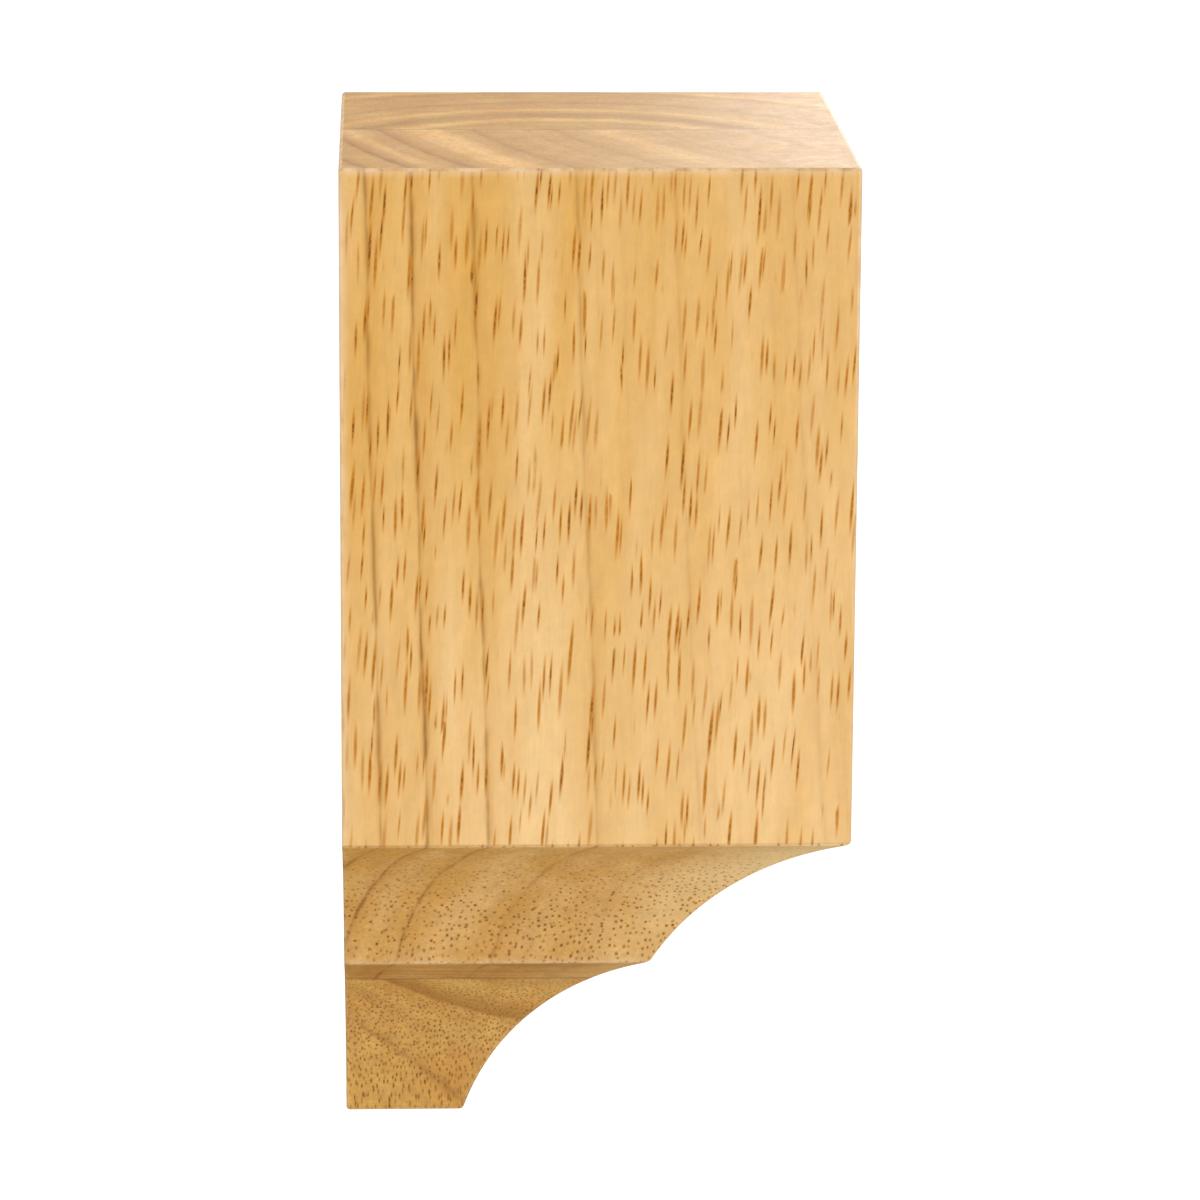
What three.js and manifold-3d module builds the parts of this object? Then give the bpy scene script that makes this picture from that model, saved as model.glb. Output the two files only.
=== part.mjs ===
// Cornice block: the wooden corner block that two runs of cornice die into, at the inside corner of two walls.
// It is square in plan and glued up from two upright boards. Its left side and back lie flat against the walls.
// Its front and right side each have a plain fascia, then two coves that step back to a small square foot,
// and the two moulded sides meet in a mitre at the front right corner.
// Millimetres. The origin is on the back face, midway across and midway up the fascia. The front faces -Y, +Z is up.

import * as THREE from "three";
import { mergeVertices } from "three/addons/utils/BufferGeometryUtils.js";
import Module from "manifold-3d";

const wasm = await Module();
wasm.setup();

// Driving dimensions

const fasciaHeight = 94.1;

const upperCoveRecess = 26.3; // how far the cove steps back from the face above it
const upperCoveDrop = 24.9;
const upperCoveHollow = 3.1; // how deep the arc lies behind the straight line between its two ends

const lowerCoveRecess = 26.4;
const lowerCoveDrop = 31.0;
const lowerCoveHollow = 4.2;

const footSide = 17.3; // the square that is left at the bottom, in the corner of the walls

const frontBoardThickness = 34.0; // the back board takes up the rest of the depth

const coveSteps = 16; // curve divisions of a cove, each drawn as two straight steps

// Sizes that follow from them

const blockSide = footSide + lowerCoveRecess + upperCoveRecess;
const blockHeight = fasciaHeight + upperCoveDrop + lowerCoveDrop;

// Continues an outline with a cove: an arc that hollows into the wood on its way back and down.
function addCove(outline, recess, drop, hollow) {
  const start = outline.currentPoint.clone();
  const end = start.clone().add(new THREE.Vector2(recess, -drop));
  const chord = start.distanceTo(end);
  const radius = (chord ** 2 / 4 + hollow ** 2) / (2 * hollow);
  const outOfTheWood = new THREE.Vector2(-drop, -recess).normalize();
  const centre = start.clone().add(end).divideScalar(2).addScaledVector(outOfTheWood, radius - hollow);
  const startAngle = start.clone().sub(centre).angle();
  const endAngle = end.clone().sub(centre).angle();
  outline.absarc(centre.x, centre.y, radius, startAngle, endAngle, true);
}

// One moulded side in section: x runs back from the fascia, y is up, and the top front edge is at 0, 0.
function sectionOutline() {
  const outline = new THREE.Shape();
  outline.moveTo(0, 0);
  outline.lineTo(0, -fasciaHeight);
  addCove(outline, upperCoveRecess, upperCoveDrop, upperCoveHollow);
  addCove(outline, lowerCoveRecess, lowerCoveDrop, lowerCoveHollow);
  outline.lineTo(blockSide, -blockHeight);
  outline.lineTo(blockSide, 0);
  outline.closePath();
  return outline;
}

// A straight length of the moulding, run along the third axis from the origin.
function mouldingLength(backwards, alongTheRun) {
  const up = new THREE.Vector3(0, 0, 1);
  const geometry = new THREE.ExtrudeGeometry(sectionOutline(), {
    depth: blockSide,
    bevelEnabled: false,
    curveSegments: coveSteps,
  });
  geometry.applyMatrix4(new THREE.Matrix4().makeBasis(backwards, up, alongTheRun));
  return geometry;
}

function solidFrom(geometry) {
  geometry.deleteAttribute("normal");
  geometry.deleteAttribute("uv");
  const merged = mergeVertices(geometry, 1e-4);
  const mesh = new wasm.Mesh({
    numProp: 3,
    vertProperties: merged.attributes.position.array,
    triVerts: new Uint32Array(merged.index.array),
  });
  return new wasm.Manifold(mesh);
}

function geometryFrom(solid) {
  const mesh = solid.getMesh();
  const geometry = new THREE.BufferGeometry();
  geometry.setAttribute("position", new THREE.BufferAttribute(mesh.vertProperties, 3));
  geometry.setIndex(new THREE.BufferAttribute(mesh.triVerts, 1));
  const flatShaded = geometry.toNonIndexed();
  flatShaded.computeVertexNormals();
  return flatShaded;
}

// The whole block, with its front left edge on the Z axis and its top at z = 0.
// What lies inside both mouldings is the block, and they meet in the mitre by themselves.
function mitredBlock() {
  const left = new THREE.Vector3(-1, 0, 0);
  const right = new THREE.Vector3(1, 0, 0);
  const back = new THREE.Vector3(0, 1, 0);
  const frontMoulding = mouldingLength(back, right);
  const sideMoulding = mouldingLength(left, back);
  sideMoulding.translate(blockSide, 0, 0);
  return solidFrom(frontMoulding).intersect(solidFrom(sideMoulding));
}

// The space that the front board was sawn from, drawn well past the block's own sides.
function frontBoardStock() {
  const spare = blockSide;
  const stock = new THREE.BoxGeometry(blockSide + 2 * spare, frontBoardThickness + spare, blockHeight + 2 * spare);
  stock.translate(blockSide / 2, (frontBoardThickness - spare) / 2, -blockHeight / 2);
  return solidFrom(stock);
}

function frontBoard(block, stock) {
  const wood = new THREE.MeshStandardMaterial({ color: 0xe4b168, roughness: 0.55, metalness: 0 });
  const mesh = new THREE.Mesh(geometryFrom(block.intersect(stock)), wood);
  mesh.name = "front_board";
  return mesh;
}

function backBoard(block, stock) {
  const wood = new THREE.MeshStandardMaterial({ color: 0xd9ad72, roughness: 0.55, metalness: 0 });
  const mesh = new THREE.Mesh(geometryFrom(block.subtract(stock)), wood);
  mesh.name = "back_board";
  return mesh;
}

const block = mitredBlock();
const stock = frontBoardStock();

const corniceBlock = new THREE.Group();
corniceBlock.add(frontBoard(block, stock));
corniceBlock.add(backBoard(block, stock));
corniceBlock.position.set(-blockSide / 2, -blockSide, fasciaHeight / 2);

export default corniceBlock;
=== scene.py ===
"""A wooden cornice block for an inside wall corner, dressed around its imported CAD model.

Metres. The front faces -Y, +Z is up, and the origin is on the back face, half-way up the plain fascia.
"""

import math

import bpy
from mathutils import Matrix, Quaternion, Vector


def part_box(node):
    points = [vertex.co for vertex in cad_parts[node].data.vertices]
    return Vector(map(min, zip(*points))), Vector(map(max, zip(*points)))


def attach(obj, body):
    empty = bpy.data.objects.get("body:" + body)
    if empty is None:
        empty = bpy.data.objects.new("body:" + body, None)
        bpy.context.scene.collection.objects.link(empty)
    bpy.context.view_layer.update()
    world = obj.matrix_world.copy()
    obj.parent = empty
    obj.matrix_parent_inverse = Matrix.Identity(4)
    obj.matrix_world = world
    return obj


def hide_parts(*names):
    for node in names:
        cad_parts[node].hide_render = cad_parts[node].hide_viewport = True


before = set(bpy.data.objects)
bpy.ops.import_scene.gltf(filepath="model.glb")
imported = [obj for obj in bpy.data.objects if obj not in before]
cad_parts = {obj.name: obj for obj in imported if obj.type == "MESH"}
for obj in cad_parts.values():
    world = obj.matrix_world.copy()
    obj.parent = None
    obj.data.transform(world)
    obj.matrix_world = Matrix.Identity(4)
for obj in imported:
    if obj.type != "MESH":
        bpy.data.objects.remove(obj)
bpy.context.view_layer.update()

# The camera
# A long lens about 0.75 m away, level with a point above the block and a little left of its middle,
# so that the top just shows and the left side doesn't.
CAMERA_AIM = Vector((0.0002, -0.07, -0.01217))
CAMERA_DISTANCE = 0.7471
CAMERA_AZIMUTH = math.radians(-2.296)
CAMERA_ELEVATION = math.radians(13.634)
CAMERA_ROLL = math.radians(0.335)
CAMERA_LENS = 165.0

looking_back = Vector((
    math.sin(CAMERA_AZIMUTH) * math.cos(CAMERA_ELEVATION),
    -math.cos(CAMERA_AZIMUTH) * math.cos(CAMERA_ELEVATION),
    math.sin(CAMERA_ELEVATION),
))
level_turn = (-looking_back).to_track_quat("-Z", "Y")
camera_turn = level_turn @ Quaternion((0, 0, 1), CAMERA_ROLL)
bpy.ops.object.camera_add(
    location=CAMERA_AIM + CAMERA_DISTANCE * looking_back,
    rotation=camera_turn.to_euler(),
)
camera = bpy.context.object
camera.data.lens = CAMERA_LENS
camera.data.sensor_width = 36.0
camera.data.clip_start = 0.05
bpy.context.scene.camera = camera

# The glued and moulded block
# Two upright boards are glued face to face into a square block. A cutter then runs the two coves along its
# front and its right side, which meet in a mitre, and all the arrises are eased with fine abrasive paper.
FASCIA_HEIGHT = 0.0941
UPPER_COVE = {"recess": 0.0263, "drop": 0.0249, "hollow": 0.0031}
LOWER_COVE = {"recess": 0.0264, "drop": 0.0310, "hollow": 0.0042}
COVE_STEPS = 24
ARRIS_EASING = 0.0005
EASING_STEPS = 3
EASED_FROM_ANGLE = math.radians(20)

front_low, front_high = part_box("front_board")
back_low, back_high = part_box("back_board")
block_low = Vector(map(min, front_low, back_low))
block_high = Vector(map(max, front_high, back_high))
block_middle = (block_low + block_high) / 2
block_side = block_high.x - block_low.x
glue_plane_y = back_low.y

section = [Vector((0.0, block_high.z)), Vector((0.0, block_high.z - FASCIA_HEIGHT))]
for cove in (UPPER_COVE, LOWER_COVE):
    cove_start = section[-1]
    cove_end = cove_start + Vector((cove["recess"], -cove["drop"]))
    chord = (cove_end - cove_start).length
    cutter_radius = (chord**2 / 4 + cove["hollow"] ** 2) / (2 * cove["hollow"])
    out_of_the_wood = Vector((-cove["drop"], -cove["recess"])).normalized()
    cutter_middle = (cove_start + cove_end) / 2 + (cutter_radius - cove["hollow"]) * out_of_the_wood
    start_angle = math.atan2(*(cove_start - cutter_middle).yx)
    end_angle = math.atan2(*(cove_end - cutter_middle).yx)
    for step in range(1, COVE_STEPS + 1):
        angle = start_angle + (end_angle - start_angle) * step / COVE_STEPS
        section.append(cutter_middle + cutter_radius * Vector((math.cos(angle), math.sin(angle))))

# Each level of the block is a square that keeps its corner in the corner of the walls,
# so the top is drawn down through the section level by level and shrunk towards that corner.
bpy.ops.object.select_all(action="DESELECT")
bpy.ops.mesh.primitive_plane_add(size=block_side, location=(block_middle.x, block_middle.y, block_high.z))
block = bpy.context.object
bpy.ops.object.transform_apply(location=True, rotation=True, scale=True)
bpy.ops.object.mode_set(mode="EDIT")
bpy.ops.mesh.select_all(action="SELECT")
for above, below in zip(section, section[1:]):
    bpy.ops.mesh.extrude_region_move(TRANSFORM_OT_translate={"value": (0.0, 0.0, below.y - above.y)})
    shrink = (block_side - below.x) / (block_side - above.x)
    bpy.ops.transform.resize(
        value=(shrink, shrink, 1.0), center_override=(block_low.x, block_high.y, below.y)
    )
bpy.ops.mesh.select_all(action="SELECT")
bpy.ops.mesh.normals_make_consistent(inside=False)
bpy.ops.object.mode_set(mode="OBJECT")

# The easing gets a finish of its own for a moment, so that its faces can be told from the flat ones.
easing = block.modifiers.new("eased arrises", "BEVEL")
easing.width = ARRIS_EASING
easing.segments = EASING_STEPS
easing.limit_method = "ANGLE"
easing.angle_limit = EASED_FROM_ANGLE
easing.use_clamp_overlap = False
easing.material = 1
bpy.context.view_layer.objects.active = block
for finish in ("flat wood", "eased arris"):
    block.data.materials.append(bpy.data.materials.new(finish))
bpy.ops.object.modifier_apply(modifier=easing.name)

# The painted highlight along the eased arrises: the rows of points inside each eased arris.
easing_faces = [face for face in block.data.polygons if face.material_index == 1]
flat_points = {point for face in block.data.polygons if face.material_index == 0 for point in face.vertices}
painted_arris_highlight = block.data.attributes.new("painted_arris_highlight", "FLOAT", "POINT")
for face in easing_faces:
    for point in face.vertices:
        painted_arris_highlight.data[point].value = 0.0 if point in flat_points else 1.0
for face in block.data.polygons:
    face.material_index = 0
block.data.materials.clear()

# The front board
# The front one of two boards of pale yellow plantation hardwood, sawn far from the pith, so that its growth
# rings cross it steeply. Its pores are long and open, and run out as brown strokes on the front.

# The white of the painted haze, the tint of the burnished band, which is partly painted shade, and how many
# times wider a ring looks on an end
PAINTED_HAZE_WHITE = (0.09, 0.10, 0.10, 1.0)
BURNISHED_AND_SHADED_TINT = (0.76, 0.68, 0.54, 1.0)
RING_WIDER_ON_ENDS = 2.6

# How far the marks reach from the mitre, the glue, the edges and the arris between the coves, among them
# painted haze, highlight and shade, the heights between which the painted haze at the mitre runs out, and how
# sharply a mark ends
BURNISH_AND_SHADE_EASED_NEAR_MITRE = 0.014
HAZE_NEAR_MITRE = 0.020
HAZE_MITRE_LOWEST = -0.080
HAZE_MITRE_FULL = -0.074
GLUE_THICKNESS = 0.00002
GLUE_STAIN = 0.0007
EDGE_HIGHLIGHT_FROM = 0.0003
EDGE_HIGHLIGHT_TO = 0.0015
HIGHLIGHT_ABOVE_ARRIS = 0.0016
SHARP_CHANGE = 0.0003
SOFT_CHANGE = 0.0005
coves_below = block_high.z - FASCIA_HEIGHT
arris_between_coves = coves_below - UPPER_COVE["drop"]

GRAIN_DEPTH = 0.0001
SMOOTH_BELOW_ANGLE = math.radians(35)

# A ring has its radius in millimetres, the strengths of its dark line and of the late wood inside it, and the
# width of that late wood. A pale ring has its radius, half its width and its strength.
FRONT_RINGS = (
    (167.3, 0.70, 0.50, 2.2),
    (161.7, 0.90, 0.65, 2.2),
    (154.4, 0.65, 0.55, 2.2),
    (142.0, 0.42, 0.35, 2.2),
    (130.8, 0.22, 0.22, 2.2),
    (117.7, 0.15, 0.15, 2.2),
    (105.5, 0.12, 0.12, 2.2),
)
FRONT_PALE_RINGS = (
    (148.0, 4.5, 0.9),
    (158.5, 2.0, 0.4),
    (124.0, 4.0, 0.5),
)


def tone(red, green, blue):
    """A colour from its 8-bit screen values."""
    shares = [value / 255 for value in (red, green, blue)]
    linear = [share / 12.92 if share <= 0.04045 else ((share + 0.055) / 1.055) ** 2.4 for share in shares]
    return (*linear, 1.0)


def place(tree, kind, inputs, **settings):
    """Add a node. Each input is given by name or number, as a plain value or as another node's output."""
    node = tree.nodes.new(kind)
    for setting, value in settings.items():
        setattr(node, setting, value)
    for name, value in inputs.items():
        if isinstance(value, bpy.types.NodeSocket):
            tree.links.new(value, node.inputs[name])
        else:
            node.inputs[name].default_value = value
    return node.outputs


def calculate(tree, operation, *values):
    return place(tree, "ShaderNodeMath", dict(enumerate(values)), operation=operation)[0]


def calculate_vector(tree, operation, *values):
    return place(tree, "ShaderNodeVectorMath", dict(enumerate(values)), operation=operation)[0]


def multiply(tree, *factors):
    product = factors[0]
    for factor in factors[1:]:
        product = calculate(tree, "MULTIPLY", product, factor)
    return product


def by_mask(tree, mask, outside, inside):
    """The first value where the mask is 0, the second where it is 1, and in step between."""
    return calculate(tree, "MULTIPLY_ADD", mask, inside - outside, outside)


def swing(tree, pattern, amount):
    """A factor that rises and falls round 1 with a pattern."""
    return calculate(tree, "MULTIPLY_ADD", calculate(tree, "SUBTRACT", pattern, 0.5), amount, 1.0)


def fade(tree, value, start, end, low=0.0, high=1.0):
    """Low up to the start, high from the end on, and a smooth change between."""
    inputs = {"Value": value, "From Min": start, "From Max": end, "To Min": low, "To Max": high}
    return place(tree, "ShaderNodeMapRange", inputs, interpolation_type="SMOOTHSTEP")["Result"]


def blend(tree, share, first, second, kind="MIX", clamp=True):
    inputs = {0: share, 6: first, 7: second}
    return place(tree, "ShaderNodeMix", inputs, data_type="RGBA", blend_type=kind, clamp_factor=clamp)[2]


def grain_axes(tree, where, start, lean):
    """The place in millimetres from a start, along axes that lean with the grain."""
    inputs = {"Vector": where, "Location": start, "Rotation": lean, "Scale": (0.001, 0.001, 0.001)}
    return place(tree, "ShaderNodeMapping", inputs, vector_type="TEXTURE")[0]


def stretch(tree, where, per_unit):
    """A place to read a pattern at, where a small number along an axis draws the pattern out that way."""
    return place(tree, "ShaderNodeMapping", {"Vector": where, "Scale": per_unit})[0]


def noise(tree, where, detail, roughness=0.5):
    """A value and a colour that wander about once in each unit."""
    inputs = {"Vector": where, "Scale": 1.0, "Detail": detail, "Roughness": roughness}
    return place(tree, "ShaderNodeTexNoise", inputs)


def new_group(name, inputs, outputs):
    """Start a node group. Inputs map a name to its first value, and outputs map a name to a socket type."""
    tree = bpy.data.node_groups.new(name, "ShaderNodeTree")
    for socket_name, value in inputs.items():
        if isinstance(value, float):
            socket_type = "NodeSocketFloat"
        else:
            socket_type = "NodeSocketVector" if len(value) == 3 else "NodeSocketColor"
        socket = tree.interface.new_socket(socket_name, in_out="INPUT", socket_type=socket_type)
        socket.default_value = value
    for socket_name, kind in outputs.items():
        tree.interface.new_socket(socket_name, in_out="OUTPUT", socket_type="NodeSocket" + kind)
    return tree, tree.nodes.new("NodeGroupInput").outputs, tree.nodes.new("NodeGroupOutput").inputs


def place_group(tree, group, inputs):
    return place(tree, "ShaderNodeGroup", inputs, node_tree=group)


# How far each point lies from the pith, in millimetres, with the slight waver of real rings,
# and the fine bands that lie between the rings.
pith_distance, given, made = new_group(
    "distance from the pith",
    {
        "Place": (0.0, 0.0, 0.0),
        "Pith": (0.0, 0.0, 0.0),
        "Lean": (0.0, 0.0, 0.0),
        "Waver": 0.5,
    },
    {"Distance": "Float", "Banding": "Float"},
)
from_pith = grain_axes(pith_distance, given["Place"], given["Pith"], given["Lean"])
waver_place = stretch(pith_distance, from_pith, (0.11, 0.11, 0.022))
waver = noise(pith_distance, waver_place, detail=4.0, roughness=0.62)[0]
waver = calculate(pith_distance, "SUBTRACT", waver, 0.5)
across = calculate_vector(pith_distance, "MULTIPLY", from_pith, (1.0, 1.0, 0.0))
distance = place(pith_distance, "ShaderNodeVectorMath", {0: across}, operation="LENGTH")["Value"]
distance = calculate(pith_distance, "MULTIPLY_ADD", waver, given["Waver"], distance)
along = place(pith_distance, "ShaderNodeSeparateXYZ", {0: from_pith})
inputs = {
    "X": multiply(pith_distance, distance, 0.6),
    "Y": multiply(pith_distance, along["Y"], 0.05),
    "Z": multiply(pith_distance, along["Z"], 0.008),
}
band_place = place(pith_distance, "ShaderNodeCombineXYZ", inputs)[0]
pith_distance.links.new(distance, made["Distance"])
pith_distance.links.new(noise(pith_distance, band_place, detail=6.0, roughness=0.72)[0], made["Banding"])

# One growth ring: late wood that darkens outwards, closed by a thin dark line, added to the rings before it.
growth_ring, given, made = new_group(
    "growth ring",
    {
        "Distance": 0.0,
        "At": 100.0,
        "Line Strength": 1.0,
        "Late Wood Strength": 1.0,
        "Line Width": 0.3,
        "Late Wood Width": 3.0,
        "Lines So Far": 0.0,
        "Late Wood So Far": 0.0,
    },
    {"Lines": "Float", "Late Wood": "Float"},
)
beyond = calculate(growth_ring, "SUBTRACT", given["Distance"], given["At"])
off_line = calculate(growth_ring, "ABSOLUTE", beyond)
soft_width = multiply(growth_ring, given["Line Width"], 2.2)
fine_line = fade(growth_ring, off_line, 0.0, given["Line Width"], low=0.45, high=0.0)
soft_line = fade(growth_ring, off_line, 0.0, soft_width, low=0.55, high=0.0)
line = multiply(growth_ring, calculate(growth_ring, "ADD", fine_line, soft_line), given["Line Strength"])
line = calculate(growth_ring, "MAXIMUM", line, given["Lines So Far"])
inwards = multiply(growth_ring, given["Late Wood Width"], -1.0)
outwards = multiply(growth_ring, given["Late Wood Width"], 0.12)
late = multiply(
    growth_ring,
    fade(growth_ring, beyond, inwards, 0.0),
    fade(growth_ring, beyond, 0.0, outwards, low=1.0, high=0.0),
    given["Late Wood Strength"],
)
late = calculate(growth_ring, "MAXIMUM", late, given["Late Wood So Far"])
growth_ring.links.new(line, made["Lines"])
growth_ring.links.new(late, made["Late Wood"])

# Pores are long tubes that lean a little from the upright, so a face along the grain cuts them into strokes
# and a face across it into dots. They come and go in clusters, and crowd where a ring ends.
open_pores, given, made = new_group(
    "open pores",
    {
        "Place": (0.0, 0.0, 0.0),
        "Start": (0.0, 0.0, 0.0),
        "Lean": (0.0, 0.0, 0.0),
        "Spacing": 1.1,
        "Narrowest": 0.06,
        "Widest": 0.22,
        "Halo Width": 0.12,
        "Wander": (1.2, 0.5, 0.0),
        "Share": 0.82,
        "Clustering": 2.1,
        "Crowding": 0.0,
    },
    {"Core": "Float", "Halo": "Float", "Darkness": "Float"},
)
along_pores = grain_axes(open_pores, given["Place"], given["Start"], given["Lean"])
wander_place = stretch(open_pores, along_pores, (0.16, 0.16, 0.05))
wander = noise(open_pores, wander_place, detail=1.0)[1]
wander = calculate_vector(open_pores, "SUBTRACT", wander, (0.5, 0.5, 0.5))
wander = calculate_vector(open_pores, "MULTIPLY", wander, given["Wander"])
wandering = calculate_vector(open_pores, "ADD", along_pores, wander)
per_millimetre = calculate(open_pores, "DIVIDE", 1.0, given["Spacing"])
inputs = {"Vector": wandering, "Scale": per_millimetre, "Randomness": 1.0}
cells = place(open_pores, "ShaderNodeTexVoronoi", inputs, voronoi_dimensions="2D")
from_middle = multiply(open_pores, cells["Distance"], given["Spacing"])
chance = place(open_pores, "ShaderNodeSeparateColor", {0: cells["Color"]})
cluster_place = stretch(open_pores, along_pores, (0.13, 0.13, 0.045))
cluster = calculate(open_pores, "SUBTRACT", noise(open_pores, cluster_place, detail=2.0)[0], 0.5)
share = calculate(open_pores, "MULTIPLY_ADD", cluster, given["Clustering"], given["Share"])
share = calculate(open_pores, "ADD", share, given["Crowding"])
present = fade(open_pores, calculate(open_pores, "SUBTRACT", share, chance[1]), 0.0, 0.08)
spread = calculate(open_pores, "SUBTRACT", given["Widest"], given["Narrowest"])
radius = calculate(open_pores, "MULTIPLY_ADD", chance[0], spread, given["Narrowest"])
core_edge = calculate(open_pores, "ADD", radius, 0.03)
core = fade(open_pores, from_middle, multiply(open_pores, radius, 0.4), core_edge, low=1.0, high=0.0)
halo_edge = calculate(open_pores, "ADD", radius, given["Halo Width"])
halo = fade(open_pores, from_middle, multiply(open_pores, radius, 0.6), halo_edge, low=1.0, high=0.0)
crumb_place = stretch(open_pores, along_pores, (2.6, 2.6, 1.2))
crumbs = fade(open_pores, noise(open_pores, crumb_place, detail=2.0)[0], 0.36, 0.58, low=0.15, high=1.0)
darkness = calculate(open_pores, "MULTIPLY_ADD", given["Crowding"], 1.2, chance[2])
open_pores.links.new(multiply(open_pores, core, crumbs, present), made["Core"])
open_pores.links.new(multiply(open_pores, halo, present), made["Halo"])
open_pores.links.new(darkness, made["Darkness"])

# Fine fibres along the grain, broad soft streaks of a paler and a darker tone, and finer unevenness.
fibres, given, made = new_group(
    "fibres",
    {"Place": (0.0, 0.0, 0.0), "Start": (0.0, 0.0, 0.0), "Lean": (0.0, 0.0, 0.0)},
    {"Fine": "Float", "Broad": "Float", "Mottle": "Float", "Fuzz": "Float", "Patches": "Float"},
)
along_fibres = grain_axes(fibres, given["Place"], given["Start"], given["Lean"])
for pattern_name, per_unit, detail in (
    ("Fine", (4.0, 4.0, 0.22), 3.0),
    ("Broad", (0.16, 0.16, 0.012), 3.0),
    ("Mottle", (0.55, 0.55, 0.35), 4.0),
    ("Fuzz", (1.6, 1.6, 1.6), 4.0),
    ("Patches", (0.30, 0.30, 0.11), 2.0),
):
    pattern = noise(fibres, stretch(fibres, along_fibres, per_unit), detail=detail)[0]
    fibres.links.new(pattern, made[pattern_name])

# Faint marks of the moulding cutter, which ran along each moulded side.
cutter_marks, given, made = new_group(
    "cutter marks",
    {"Place": (0.0, 0.0, 0.0), "Normal": (0.0, 0.0, 1.0)},
    {"Marks": "Float"},
)
along_front = stretch(cutter_marks, given["Place"], (60.0, 3200.0, 3200.0))
along_side = stretch(cutter_marks, given["Place"], (3200.0, 60.0, 3200.0))
turned = place(cutter_marks, "ShaderNodeSeparateXYZ", {0: given["Normal"]})
turned_sideways = calculate(cutter_marks, "ABSOLUTE", turned["X"])
turned_forwards = calculate(cutter_marks, "ABSOLUTE", turned["Y"])
on_side = calculate(cutter_marks, "GREATER_THAN", turned_sideways, turned_forwards)
run = place(cutter_marks, "ShaderNodeMix", {0: on_side, 4: along_front, 5: along_side}, data_type="VECTOR")[1]
cutter_marks.links.new(noise(cutter_marks, run, detail=3.0, roughness=0.6)[0], made["Marks"])

# All that shows on a finished face, laid over each other in the order in which it comes about.
finished_wood, given, made = new_group(
    "finished wood",
    {
        "Wood": tone(229, 174, 84),
        "Pale Wood": tone(239, 191, 116),
        "Late Wood Tone": tone(216, 154, 66),
        "Ring Line Tone": tone(160, 102, 0),
        "Pore Halo Tone": tone(208, 132, 8),
        "Pore Halo Tone Across": tone(190, 132, 44),
        "Pore Tone": tone(146, 86, 2),
        "Pore Tone Across": tone(122, 82, 14),
        "Darkest Pore Tone": tone(92, 62, 16),
        "Across The Grain Tint": (0.80, 0.73, 0.60, 1.0),
        # The arris tone is a painted highlight, and the mitre tone a painted haze
        "Arris Highlight Tone": tone(248, 214, 170),
        "Mitre Haze Tone": tone(255, 226, 168),
        "Glue Tone": tone(120, 80, 40),
        "Lines": 0.0,
        "Late Wood": 0.0,
        "Late Wood On The Ends": 0.8,
        "Pore Core": 0.0,
        "Pore Halo": 0.0,
        "Pore Darkness": 0.5,
        "Fine": 0.5,
        "Broad": 0.5,
        "Mottle": 0.5,
        "Fuzz": 0.5,
        "Patches": 0.5,
        "Banding": 0.5,
        "Banding Strength": 0.22,
        "Pale Ring": 0.0,
        "Across The Grain": 0.0,
        "Cutter Marks": 0.5,
        "Sanded End": 0.0,
        # Among the masks below, the arrises and edges carry painted highlights, the burnished band partly
        # painted shade, and the bleaching and the mitre painted haze
        "Painted Arris Highlight": 0.0,
        "Painted Edge Highlight": 0.0,
        "Glue": 0.0,
        "Burnished And Shaded": 0.0,
        "Painted Haze": 0.0,
        "Painted Haze On The Ends": 0.3,
        "Painted Haze Near The Mitre": 0.0,
    },
    {"Color": "Color", "Roughness": "Float", "Height": "Float"},
)
# The wood, with its streaks, fibres and bands, and a painted haze of white over it
pale = calculate(finished_wood, "ADD", fade(finished_wood, given["Broad"], 0.3, 0.72), given["Pale Ring"])
pale = calculate(finished_wood, "MINIMUM", pale, 1.3)
colour = blend(finished_wood, pale, given["Wood"], given["Pale Wood"], clamp=False)
patch_share = by_mask(finished_wood, given["Across The Grain"], outside=0.10, inside=0.28)
fuzz_share = by_mask(finished_wood, given["Across The Grain"], outside=0.10, inside=0.60)
band_share = by_mask(finished_wood, given["Sanded End"], outside=1.0, inside=1.4)
band_share = multiply(finished_wood, band_share, given["Banding Strength"])
pale_band = calculate(finished_wood, "MAXIMUM", given["Banding"], 0.5)
pale_end = multiply(finished_wood, given["Pale Ring"], given["Sanded End"])
tones = multiply(
    finished_wood,
    swing(finished_wood, given["Fine"], 0.16),
    swing(finished_wood, given["Mottle"], 0.22),
    swing(finished_wood, given["Patches"], patch_share),
    swing(finished_wood, pale_band, band_share),
    swing(finished_wood, given["Fuzz"], fuzz_share),
    by_mask(finished_wood, pale_end, outside=1.0, inside=1.36),
)
colour = blend(finished_wood, 1.0, colour, tones, "MULTIPLY")
# Painted haze: white laid over the wood towards the right, low on the upright faces, on the coves near the
# mitre and on the end grain of the top
haze_on_the_ends = multiply(finished_wood, given["Sanded End"], given["Painted Haze On The Ends"])
haze_share = calculate(finished_wood, "ADD", haze_on_the_ends, given["Painted Haze"])
colour = blend(finished_wood, haze_share, colour, PAINTED_HAZE_WHITE, "ADD")
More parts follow.
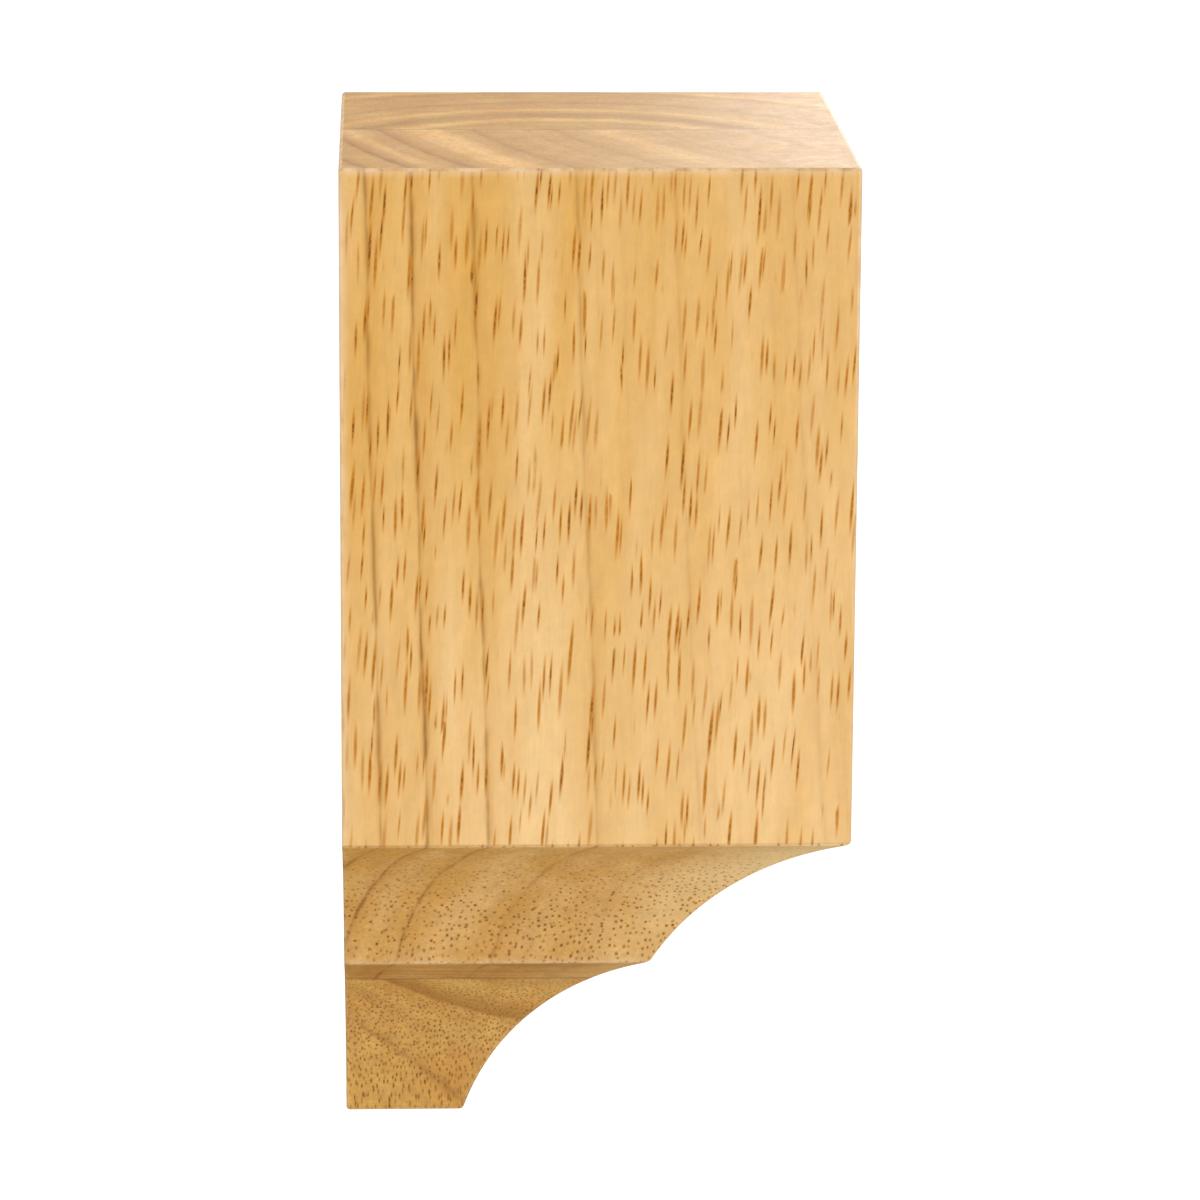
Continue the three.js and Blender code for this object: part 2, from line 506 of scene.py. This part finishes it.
# Its growth rings, and the painted haze beside the mitre
late_share = multiply(finished_wood, given["Sanded End"], given["Late Wood On The Ends"])
late_share = calculate(finished_wood, "ADD", late_share, 0.5)
dark_band = fade(finished_wood, given["Banding"], 0.28, 0.52, low=1.0, high=0.0)
dark_band = multiply(finished_wood, dark_band, band_share)
late = calculate(finished_wood, "MULTIPLY_ADD", given["Late Wood"], late_share, dark_band)
colour = blend(finished_wood, late, colour, given["Late Wood Tone"])
lines = multiply(
    finished_wood,
    given["Lines"],
    fade(finished_wood, given["Patches"], 0.35, 0.6, low=0.3, high=1.0),
    fade(finished_wood, given["Mottle"], 0.3, 0.55, low=0.75, high=1.0),
    by_mask(finished_wood, given["Sanded End"], outside=1.0, inside=0.55),
)
colour = blend(finished_wood, lines, colour, given["Ring Line Tone"])
mitre_haze_share = multiply(finished_wood, given["Painted Haze Near The Mitre"], 0.6)
colour = blend(finished_wood, mitre_haze_share, colour, given["Mitre Haze Tone"])
# Its pores, each with a soft brown halo
halo_share = fade(finished_wood, given["Pore Darkness"], 0.0, 0.6, low=0.55, high=0.96)
halo = multiply(finished_wood, given["Pore Halo"], halo_share)
halo_tones = (given["Pore Halo Tone"], given["Pore Halo Tone Across"])
colour = blend(finished_wood, halo, colour, blend(finished_wood, given["Across The Grain"], *halo_tones))
core = multiply(
    finished_wood,
    given["Pore Core"],
    fade(finished_wood, given["Pore Darkness"], 0.1, 1.0, low=0.15, high=0.9),
    by_mask(finished_wood, given["Painted Haze"], outside=1.0, inside=0.7),
)
darkest = multiply(
    finished_wood,
    fade(finished_wood, given["Pore Darkness"], 0.80, 0.97, low=0.0, high=0.8),
    by_mask(finished_wood, given["Across The Grain"], outside=1.0, inside=0.3),
)
pore_tone = blend(finished_wood, given["Across The Grain"], given["Pore Tone"], given["Pore Tone Across"])
pore_tone = blend(finished_wood, darkest, pore_tone, given["Darkest Pore Tone"])
colour = blend(finished_wood, core, colour, pore_tone)
# What the moulding cutter and the glue left, the painted shade on the burnished band, and the painted
# highlights on and beside the arrises
tint_share = by_mask(finished_wood, given["Painted Haze Near The Mitre"], outside=1.0, inside=0.35)
tint_share = multiply(finished_wood, tint_share, given["Across The Grain"])
colour = blend(finished_wood, tint_share, colour, given["Across The Grain Tint"], "MULTIPLY")
marks_share = by_mask(finished_wood, given["Burnished And Shaded"], outside=0.15, inside=1.45)
marks_share = multiply(finished_wood, marks_share, given["Across The Grain"])
marks = swing(finished_wood, given["Cutter Marks"], marks_share)
colour = blend(finished_wood, 1.0, colour, marks, "MULTIPLY")
# The burnished band's own darker tone, partly painted shade under the arris between the coves
colour = blend(finished_wood, given["Burnished And Shaded"], colour, BURNISHED_AND_SHADED_TINT, "MULTIPLY")
colour = blend(finished_wood, multiply(finished_wood, given["Glue"], 0.5), colour, given["Glue Tone"])
# Painted highlight beside the edges and above the arris between the coves
edge_highlight_share = multiply(finished_wood, given["Painted Edge Highlight"], given["Mottle"])
colour = blend(finished_wood, edge_highlight_share, colour, given["Arris Highlight Tone"])
# Painted highlight on the eased arrises
arris_highlight_share = fade(finished_wood, given["Mottle"], 0.35, 0.65, low=0.3, high=0.9)
arris_highlight_share = multiply(finished_wood, given["Painted Arris Highlight"], arris_highlight_share)
colour = blend(finished_wood, arris_highlight_share, colour, given["Arris Highlight Tone"])
rough = by_mask(finished_wood, given["Mottle"], outside=0.36, inside=0.56)
rough = calculate(finished_wood, "MULTIPLY_ADD", given["Pore Core"], 0.25, rough)
height = multiply(finished_wood, given["Fine"], 0.12)
height = calculate(finished_wood, "MULTIPLY_ADD", given["Pore Core"], -0.8, height)
finished_wood.links.new(colour, made["Color"])
finished_wood.links.new(rough, made["Roughness"])
finished_wood.links.new(height, made["Height"])


def lay_rings(tree, distance, rings, line_width):
    """The dark lines of all the growth rings, and their late wood."""
    lines = 0.0
    late_wood = 0.0
    for at, line_strength, late_strength, late_wood_width in rings:
        inputs = {
            "Distance": distance,
            "At": at,
            "Line Strength": line_strength,
            "Late Wood Strength": late_strength,
            "Line Width": line_width,
            "Late Wood Width": late_wood_width,
            "Lines So Far": lines,
            "Late Wood So Far": late_wood,
        }
        ring = place_group(tree, growth_ring, inputs)
        lines = ring["Lines"]
        late_wood = ring["Late Wood"]
    return lines, late_wood


def lay_pale_rings(tree, distance, pale_rings):
    pale_ring = 0.0
    for at, half_width, strength in pale_rings:
        off_ring = calculate(tree, "ABSOLUTE", calculate(tree, "SUBTRACT", distance, at))
        next_ring = fade(tree, off_ring, 0.0, half_width, low=strength, high=0.0)
        pale_ring = calculate(tree, "MAXIMUM", pale_ring, next_ring)
    return pale_ring


def painted_haze_share(tree, where, facing, along_grain):
    """Painted haze: paler towards the right, low on the upright faces, and on the coves towards the mitre."""
    at_the_right = fade(tree, where["X"], -0.02, 0.05, low=0.0, high=0.6)
    low_down = fade(tree, where["Z"], 0.03, -0.06)
    more_at_the_left = fade(tree, where["X"], -0.03, 0.03, low=0.85, high=0.5)
    low_down = multiply(tree, low_down, along_grain, more_at_the_left)
    on_the_coves = fade(tree, facing, -0.35, -0.02, low=1.0, high=0.0)
    towards_the_mitre = fade(tree, where["X"], -0.03, 0.015, low=0.0, high=0.25)
    on_the_coves = multiply(tree, on_the_coves, towards_the_mitre)
    return calculate(tree, "ADD", calculate(tree, "ADD", at_the_right, low_down), on_the_coves)


def painted_edge_highlights(tree, where, along_grain, across_grain):
    """Painted highlight: paler beside the front left arris and the top edges, and just above the arris
    between the coves.
    """
    from_left = calculate(tree, "ADD", where["X"], block_side / 2)
    from_front = calculate(tree, "ADD", where["Y"], block_side)
    from_left_arris = calculate(tree, "MAXIMUM", from_left, from_front)
    from_top = calculate(tree, "SUBTRACT", block_high.z, where["Z"])
    from_edge = calculate(tree, "MINIMUM", from_left_arris, from_top)
    beside_edges = fade(tree, from_edge, EDGE_HIGHLIGHT_FROM, EDGE_HIGHLIGHT_TO, low=0.8, high=0.0)
    beside_edges = multiply(tree, beside_edges, along_grain)
    above_arris = multiply(
        tree,
        fade(tree, where["Z"], arris_between_coves, arris_between_coves + HIGHLIGHT_ABOVE_ARRIS, low=0.35, high=0.0),
        fade(tree, where["Z"], arris_between_coves - SHARP_CHANGE, arris_between_coves),
        across_grain,
    )
    return calculate(tree, "ADD", beside_edges, above_arris)


def painted_haze_beside_mitre(tree, where, off_mitre, across_grain):
    """Painted haze beside the mitre, strongest high on the upper cove."""
    return multiply(
        tree,
        fade(tree, off_mitre, 0.0, HAZE_NEAR_MITRE, low=1.0, high=0.0),
        fade(tree, where["Z"], arris_between_coves, coves_below, low=0.3, high=1.0),
        fade(tree, where["Z"], coves_below, coves_below + SOFT_CHANGE, low=1.0, high=0.0),
        fade(tree, where["Z"], HAZE_MITRE_LOWEST, HAZE_MITRE_FULL),
        across_grain,
    )


def make_wood(
    name, pith, ring_lean, rings, line_width, pale_rings, ring_waver, pore_values, grain_start, burnish_and_shade, tones
):
    """A board's wood. Rings, pores and fibres run through the solid, so that they meet round every arris."""
    material = bpy.data.materials.new(name)
    material.use_nodes = True
    tree = material.node_tree
    coordinates = place(tree, "ShaderNodeTexCoord", {})
    where = place(tree, "ShaderNodeSeparateXYZ", {0: coordinates["Object"]})
    inputs = {"Place": coordinates["Object"], "Pith": pith, "Lean": ring_lean, "Waver": ring_waver}
    from_pith = place_group(tree, pith_distance, inputs)
    inputs = {"Place": coordinates["Object"], "Start": grain_start, "Lean": pore_values["Lean"]}
    grain = place_group(tree, fibres, inputs)
    inputs = {"Place": coordinates["Object"], "Normal": coordinates["Normal"]}
    marks = place_group(tree, cutter_marks, inputs)["Marks"]

    # How the face lies to the grain, and how far it is from the mitre
    facing = place(tree, "ShaderNodeSeparateXYZ", {0: coordinates["Normal"]})["Z"]
    steepness = calculate(tree, "ABSOLUTE", facing)
    across_grain = fade(tree, steepness, 0.02, 0.35)
    along_grain = calculate(tree, "SUBTRACT", 1.0, across_grain)
    sanded_end = fade(tree, steepness, 0.93, 0.98)
    off_mitre = calculate(tree, "ADD", calculate(tree, "ADD", where["X"], where["Y"]), block_side / 2)
    off_mitre = calculate(tree, "ABSOLUTE", off_mitre)

    # Rings, wider on the sanded ends, and pores, which crowd along them
    uneven = fade(tree, grain["Patches"], 0.35, 0.65, low=0.6, high=1.35)
    widened = by_mask(tree, sanded_end, outside=line_width, inside=RING_WIDER_ON_ENDS * line_width)
    widened = multiply(tree, widened, uneven)
    lines, late_wood = lay_rings(tree, from_pith["Distance"], rings, widened)
    pale_ring = lay_pale_rings(tree, from_pith["Distance"], pale_rings)
    inputs = {"Place": coordinates["Object"], "Crowding": multiply(tree, lines, 0.5), **pore_values}
    pores = place_group(tree, open_pores, inputs)

    # The band that the cutter burnished, darker partly as painted shade under the arris between the coves,
    # and the pores that are left open by it and by the sanding
    burnished_and_shaded = fade(tree, where["Z"], arris_between_coves - SHARP_CHANGE, arris_between_coves, low=burnish_and_shade, high=0.0)
    burnished_and_shaded = multiply(tree, burnished_and_shaded, across_grain)
    left_open = multiply(
        tree,
        by_mask(tree, sanded_end, outside=1.0, inside=0.45),
        fade(tree, steepness, 0.66, 0.90, low=1.0, high=0.30),
        by_mask(tree, burnished_and_shaded, outside=1.0, inside=0.2),
    )
    near_mitre = fade(tree, off_mitre, 0.0, BURNISH_AND_SHADE_EASED_NEAR_MITRE, low=0.5, high=1.0)
    burnished_and_shaded = multiply(tree, burnished_and_shaded, near_mitre)

    # The glue line, and the painted highlight on the eased arrises
    from_glue = calculate(tree, "ABSOLUTE", calculate(tree, "SUBTRACT", where["Y"], glue_plane_y))
    stain_edge = multiply(tree, grain["Mottle"], GLUE_STAIN)
    glue = fade(tree, from_glue, GLUE_THICKNESS, stain_edge, low=1.0, high=0.0)
    painted_arris_highlight = place(tree, "ShaderNodeAttribute", {}, attribute_name="painted_arris_highlight")["Fac"]
    painted_arris_highlight = fade(tree, painted_arris_highlight, 0.0, 0.5)
    painted_arris_highlight = multiply(tree, painted_arris_highlight, fade(tree, where["Z"], -0.05, 0.03, low=0.2, high=1.0))

    inputs = {
        "Lines": lines,
        "Late Wood": late_wood,
        "Pore Core": multiply(tree, pores["Core"], left_open),
        "Pore Halo": multiply(tree, pores["Halo"], left_open),
        "Pore Darkness": pores["Darkness"],
        "Fine": grain["Fine"],
        "Broad": grain["Broad"],
        "Mottle": grain["Mottle"],
        "Fuzz": grain["Fuzz"],
        "Patches": grain["Patches"],
        "Banding": from_pith["Banding"],
        "Pale Ring": pale_ring,
        "Across The Grain": across_grain,
        "Cutter Marks": marks,
        "Sanded End": sanded_end,
        # Among these, the arris and edge masks are painted highlights, the burnished band is partly painted
        # shade, and the bleaching and mitre masks are painted haze
        "Painted Arris Highlight": painted_arris_highlight,
        "Painted Edge Highlight": painted_edge_highlights(tree, where, along_grain, across_grain),
        "Glue": glue,
        "Burnished And Shaded": burnished_and_shaded,
        "Painted Haze": painted_haze_share(tree, where, facing, along_grain),
        "Painted Haze Near The Mitre": painted_haze_beside_mitre(tree, where, off_mitre, across_grain),
        **tones,
    }
    surface = place_group(tree, finished_wood, inputs)
    inputs = {"Height": surface["Height"], "Distance": GRAIN_DEPTH, "Strength": 0.6}
    bump = place(tree, "ShaderNodeBump", inputs)[0]
    principled = tree.nodes["Principled BSDF"].inputs
    principled["Specular IOR Level"].default_value = 0.35
    tree.links.new(surface["Color"], principled["Base Color"])
    tree.links.new(surface["Roughness"], principled["Roughness"])
    tree.links.new(bump, principled["Normal"])
    return material


def saw_board(name, keep_front, wood):
    """Part the block at the glue line, keep one board of it and give it its wood."""
    bpy.ops.object.select_all(action="DESELECT")
    block.select_set(True)
    bpy.context.view_layer.objects.active = block
    bpy.ops.object.duplicate()
    board = bpy.context.object
    board.name = name
    bpy.ops.object.mode_set(mode="EDIT")
    bpy.ops.mesh.select_all(action="SELECT")
    bpy.ops.mesh.bisect(
        plane_co=(0.0, glue_plane_y, 0.0),
        plane_no=(0.0, 1.0, 0.0),
        use_fill=True,
        clear_outer=keep_front,
        clear_inner=not keep_front,
    )
    bpy.ops.object.mode_set(mode="OBJECT")
    bpy.ops.object.shade_smooth_by_angle(angle=SMOOTH_BELOW_ANGLE)
    weighting = board.modifiers.new("flat faces stay flat", "WEIGHTED_NORMAL")
    weighting.keep_sharp = True
    bpy.ops.object.modifier_apply(modifier=weighting.name)
    board.data.materials.append(wood)
    return board


front_wood = make_wood(
    "front_board_wood",
    pith=(0.1182, 0.0062, 0.0),
    ring_lean=(math.radians(7.4), math.radians(2.7), 0.0),
    rings=FRONT_RINGS,
    line_width=0.28,
    pale_rings=FRONT_PALE_RINGS,
    ring_waver=1.2,
    pore_values={
        "Start": (0.0, 0.0, 0.0),
        "Lean": (math.radians(-4.4), math.radians(3.3), 0.0),
        "Spacing": 0.91,
        "Widest": 0.20,
        "Halo Width": 0.17,
    },
    grain_start=(0.0, 0.0, 0.0),
    burnish_and_shade=1.0,
    tones={},
)
front_board = saw_board("front_board_wood", True, front_wood)
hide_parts("front_board")
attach(front_board, "root")

# The back board
# The back one of the two boards, of the same wood but sawn close to the pith, so that its rings arch over
# the top. Its pores are finer and closer together.
BACK_RINGS = (
    (26.0, 0.10, 0.20, 3.0),
    (34.3, 0.20, 1.30, 5.0),
    (39.8, 0.15, 0.10, 2.0),
    (44.5, 0.50, 0.15, 1.5),
    (54.7, 0.25, 0.25, 3.5),
    (62.0, 0.20, 0.20, 4.0),
)
BACK_PALE_RINGS = (
    (37.8, 2.6, 0.4),
    (28.5, 3.0, 0.5),
    (57.0, 2.0, 0.4),
)
back_wood = make_wood(
    "back_board_wood",
    pith=(-0.005, -0.0573, 0.0),
    ring_lean=(math.radians(-2.0), 0.0, 0.0),
    rings=BACK_RINGS,
    line_width=0.45,
    pale_rings=BACK_PALE_RINGS,
    ring_waver=2.0,
    pore_values={
        "Start": (0.013, 0.007, 0.0),
        "Lean": (math.radians(5.0), math.radians(1.5), 0.0),
        "Spacing": 0.58,
        "Narrowest": 0.08,
        "Widest": 0.16,
        "Halo Width": 0.12,
        "Share": 1.0,
        "Clustering": 1.2,
    },
    grain_start=(0.031, 0.017, 0.0),
    burnish_and_shade=0.15,
    tones={
        "Wood": tone(228, 171, 84),
        "Pale Wood": tone(240, 193, 106),
        "Late Wood Tone": tone(178, 122, 36),
        "Banding Strength": 0.18,
        "Late Wood On The Ends": -0.2,
        "Painted Haze On The Ends": 0.0,
    },
)
back_board = saw_board("back_board_wood", False, back_wood)
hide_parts("back_board")
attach(back_board, "root")

bpy.data.objects.remove(block)

# The floor
# A wide sheet of white paper well below the block. It lies out of reach of the block's shadow, and its
# bounce is left to the tent of light, so that the coves keep their soft shade.
FLOOR_DROP = 0.35
FLOOR_SIZE = 30.0
FLOOR_WHITE = (1.0, 1.0, 1.0, 1.0)

bpy.ops.object.select_all(action="DESELECT")
bpy.ops.mesh.primitive_plane_add(size=FLOOR_SIZE, location=(0.0, 0.0, block_low.z - FLOOR_DROP))
floor = bpy.context.object
floor.name = "studio_floor"
floor.visible_diffuse = False
floor.visible_glossy = False
paper = bpy.data.materials.new("studio_floor_paper")
paper.use_nodes = True
paper_shader = paper.node_tree.nodes["Principled BSDF"].inputs
paper_shader["Base Color"].default_value = FLOOR_WHITE
paper_shader["Roughness"].default_value = 0.9
paper_shader["Emission Color"].default_value = FLOOR_WHITE
paper_shader["Emission Strength"].default_value = 0.3
floor.data.materials.append(paper)

# The light
# A white tent round the block, dark behind it near the floor, a wide soft box low in front at the right and
# a small one close behind at the right, whose sheen lies on the end grain of the top.
TENT_ABOVE = 0.9
TENT_BELOW_IN_FRONT = 0.95
TENT_BELOW_BEHIND = 0.12
TENT_AS_SEEN = 1.02
FRONT_BOX = {"place": (0.42, -1.05, -0.42), "size": 0.45, "watts": 1.8}
BACK_BOX = {"place": (0.12, 0.40, 0.137), "size": 0.15, "watts": 0.3}

tent = bpy.data.worlds.new("white tent")
bpy.context.scene.world = tent
tent.use_nodes = True
sky = tent.node_tree
direction = place(sky, "ShaderNodeTexCoord", {})["Generated"]
towards = place(sky, "ShaderNodeSeparateXYZ", {0: direction})
below = fade(sky, towards["Y"], -0.1, 0.5, low=TENT_BELOW_IN_FRONT, high=TENT_BELOW_BEHIND)
tent_light = fade(sky, towards["Z"], -0.2, 0.1, low=below, high=TENT_ABOVE)
seen = place(sky, "ShaderNodeLightPath", {})["Is Camera Ray"]
strength = calculate(sky, "MAXIMUM", tent_light, multiply(sky, seen, TENT_AS_SEEN))
tent_shader = sky.nodes["Background"].inputs
tent_shader["Color"].default_value = (1.0, 1.0, 1.0, 1.0)
sky.links.new(strength, tent_shader["Strength"])

for box_name, box in (("front soft box", FRONT_BOX), ("back soft box", BACK_BOX)):
    to_block = (block_middle - Vector(box["place"])).to_track_quat("-Z", "Y")
    bpy.ops.object.light_add(type="AREA", location=box["place"], rotation=to_block.to_euler())
    soft_box = bpy.context.object
    soft_box.name = box_name
    soft_box.data.size = box["size"]
    soft_box.data.energy = box["watts"]
    soft_box.visible_camera = False
bpy.context.scene.view_settings.view_transform = "Standard"
